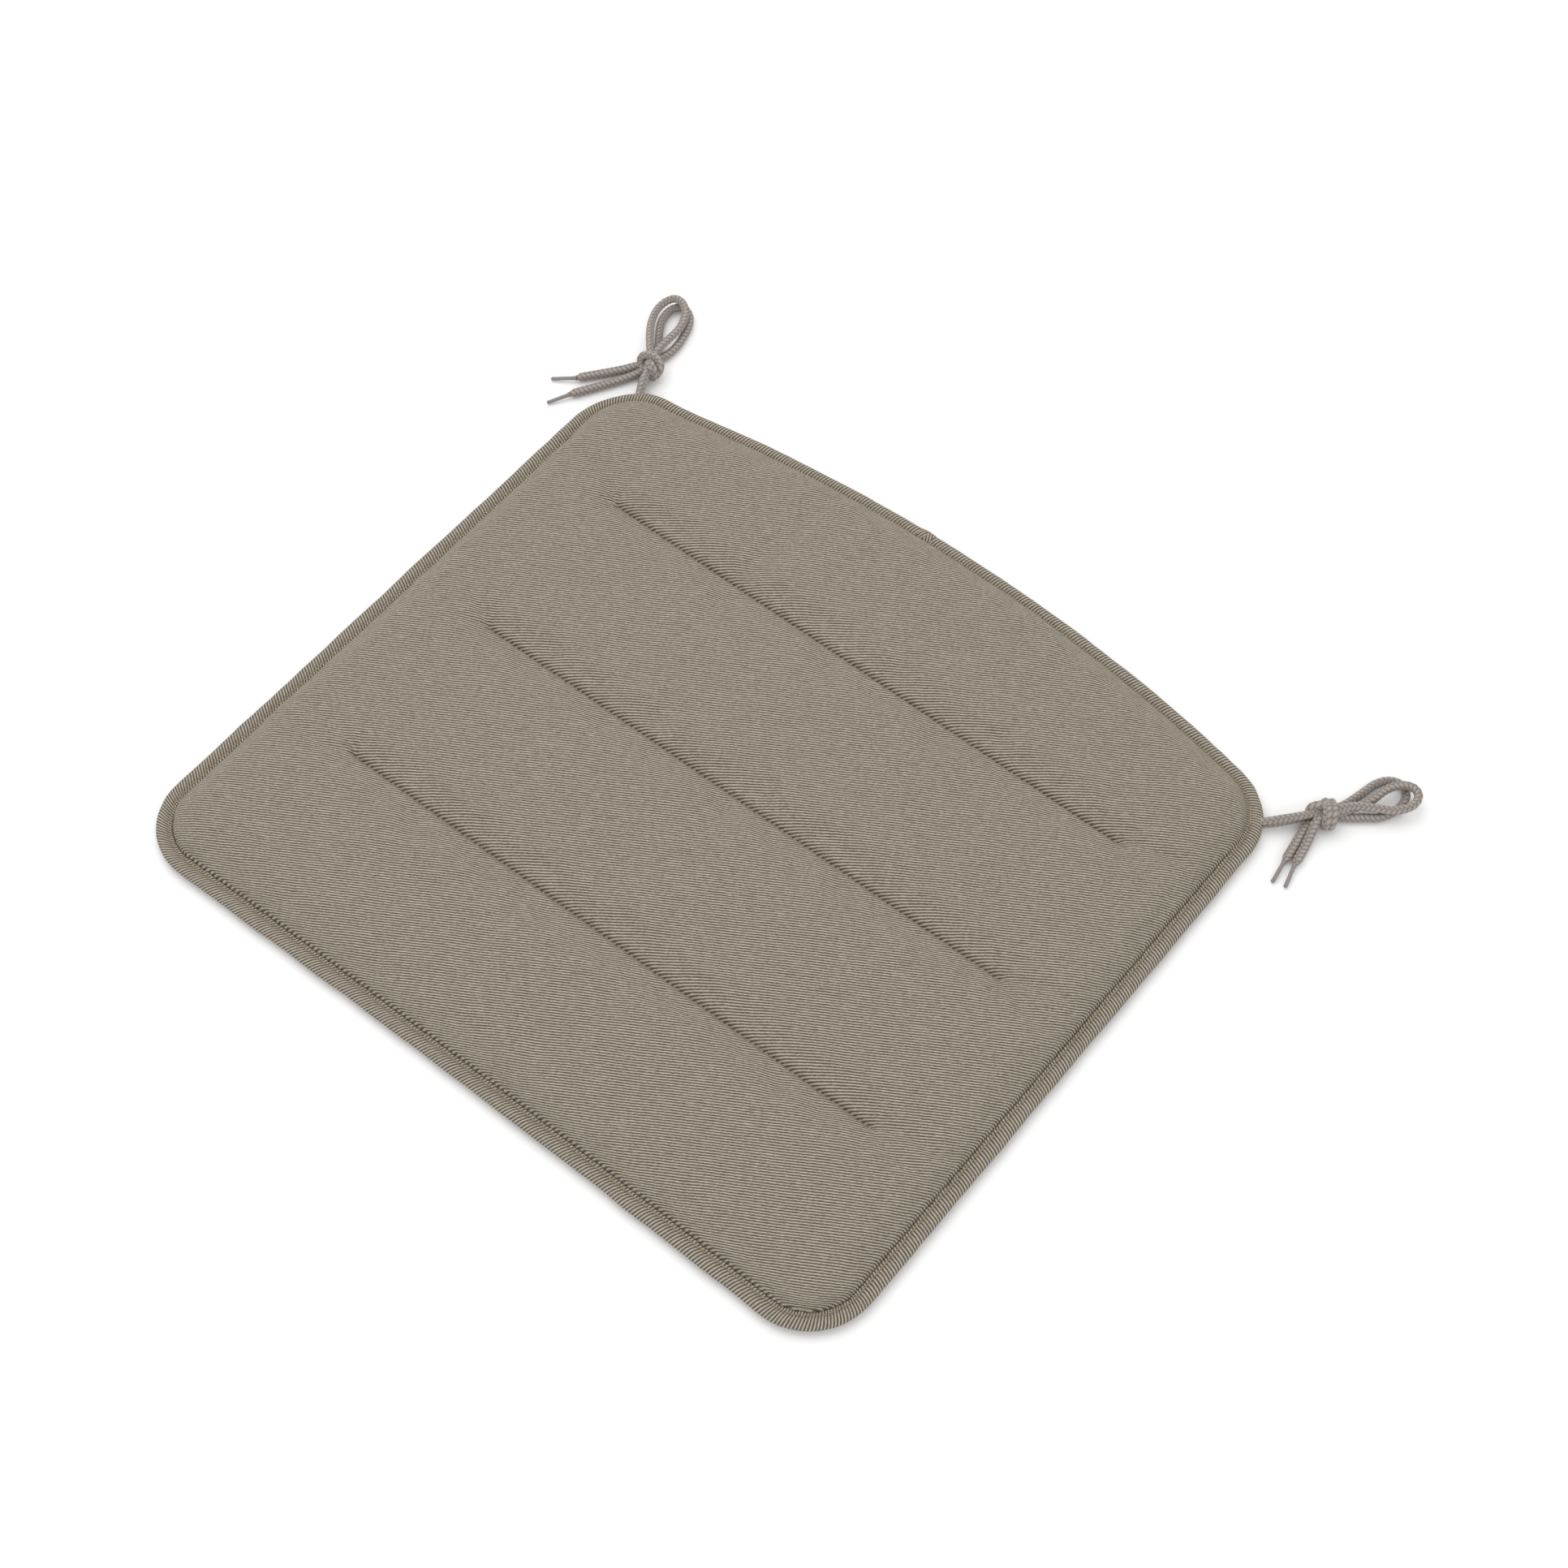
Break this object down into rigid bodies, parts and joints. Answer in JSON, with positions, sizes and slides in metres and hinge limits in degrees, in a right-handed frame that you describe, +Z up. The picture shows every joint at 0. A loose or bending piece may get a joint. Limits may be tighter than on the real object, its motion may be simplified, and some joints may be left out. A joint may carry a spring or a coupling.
{
  "type": "chair seat pad",
  "caption": "Thin quilted seat pad with a bound edge, three stitched channels and a doubled cord tie knotted in a bow at each back corner.",
  "frame": {"origin": "centre of the pad's own box, at the level of the underside it rests on", "axes": "+X along the pad's width, +Y towards the bowed back edge with the ties, +Z up out of the sitting side"},
  "size_m": [0.5159, 0.4402, 0.014],
  "materials": {
    "cover_twill": "two-tone twill, woven, matt",
    "binding_twill": "same twill cut across the stripe, matt",
    "foam": "open-cell foam, matt",
    "thread": "tan sewing thread, slight sheen",
    "cord": "braided taupe cord, matt",
    "aglet": "shrunk grey film sleeve"
  },
  "bodies": {
    "pad": {"foam_core": "foam", "top_cover": "cover_twill", "bottom_cover": "cover_twill", "edge_binding": "binding_twill", "binding_lap": "binding_twill", "binding_stitch_top": "thread", "binding_stitch_under": "thread", "back_channel_stitch_top": "thread", "back_channel_stitch_under": "thread", "middle_channel_stitch_top": "thread", "middle_channel_stitch_under": "thread", "front_channel_stitch_top": "thread", "front_channel_stitch_under": "thread", "left_bar_tack": "thread", "right_bar_tack": "thread", "left_tie_seam_end": "cord", "right_tie_seam_end": "cord"},
    "left_tie": {"left_knot": "cord", "left_upper_root": "cord", "left_upper_loop": "cord", "left_upper_tail": "cord", "left_lower_root": "cord", "left_lower_loop": "cord", "left_lower_tail": "cord", "left_upper_aglet": "aglet", "left_lower_aglet": "aglet"},
    "right_tie": {"right_knot": "cord", "right_upper_root": "cord", "right_upper_loop": "cord", "right_upper_tail": "cord", "right_lower_root": "cord", "right_lower_loop": "cord", "right_lower_tail": "cord", "right_upper_aglet": "aglet", "right_lower_aglet": "aglet"}
  },
  "joints": [
    {"name": "left_tie_swing", "type": "hinge", "parent": "pad", "child": "left_tie", "pos_m": [-0.20353, 0.17709, 0.004], "axis": [0.5, 0.866, 0], "range_deg": [0, 90]},
    {"name": "right_tie_swing", "type": "hinge", "parent": "pad", "child": "right_tie", "pos_m": [0.21681, 0.16426, 0.004], "axis": [0.5, -0.866, 0], "range_deg": [0, 90]}
  ]
}
